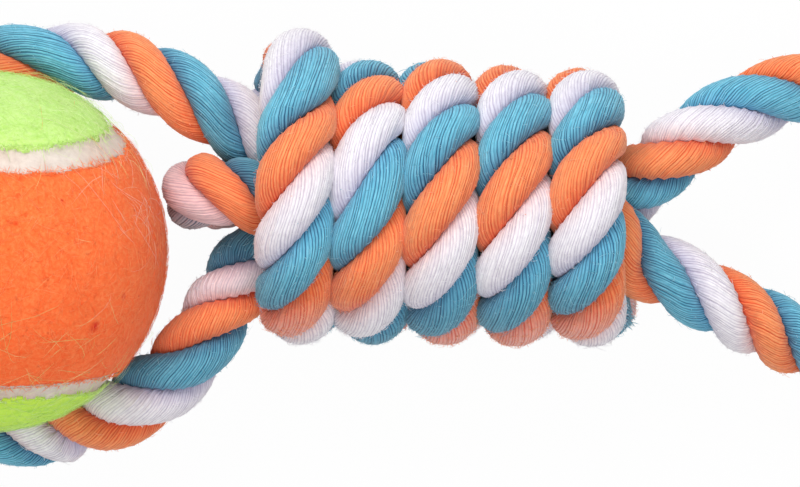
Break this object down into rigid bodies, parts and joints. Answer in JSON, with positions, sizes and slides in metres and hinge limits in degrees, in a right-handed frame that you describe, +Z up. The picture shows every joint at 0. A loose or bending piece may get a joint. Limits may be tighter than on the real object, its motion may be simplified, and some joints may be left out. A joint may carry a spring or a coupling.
{
  "type": "rope dog toy",
  "caption": "Thick three-strand rope dog toy: a rope loop hugs a felt-covered ball, a tight rope winding grips it, and a long hand loop is for tugging and throwing.",
  "frame": {"origin": "on the floor, in the middle of the flat underneath the third bottom pass of the winding", "axes": "+X along the toy from the ball to the hand loop, +Y across it, +Z up from the floor that it lies on"},
  "size_m": [0.2833, 0.0796, 0.0634],
  "materials": {
    "rope": "soft cotton rope of blue, orange and white strands",
    "felt_orange": "fuzzy orange felt",
    "felt_lime": "fuzzy lime felt",
    "seam": "matte off-white seam",
    "ball_rubber": "matte dark rubber"
  },
  "bodies": {
    "knot": {"buried_end": "rope", "ball_loop": "rope", "lower_core_run": "rope", "upper_core_run": "rope", "winding": "rope"},
    "handle": {"handle_loop": "rope"},
    "ball": {"felt_panel_orange": "felt_orange", "felt_panel_lime": "felt_lime", "seam_band": "seam", "rubber_cup_upper": "ball_rubber", "rubber_cup_lower": "ball_rubber"}
  },
  "joints": [
    {"name": "handle_swing", "type": "hinge", "parent": "knot", "child": "handle", "pos_m": [0.0478, 0, 0.022], "axis": [0, -1, 0], "range_deg": [-50, 80]},
    {"name": "ball_spin", "type": "hinge", "parent": "knot", "child": "ball", "pos_m": [-0.07324, -0.0089, 0.03175], "axis": [0, 0, 1], "continuous": true}
  ]
}
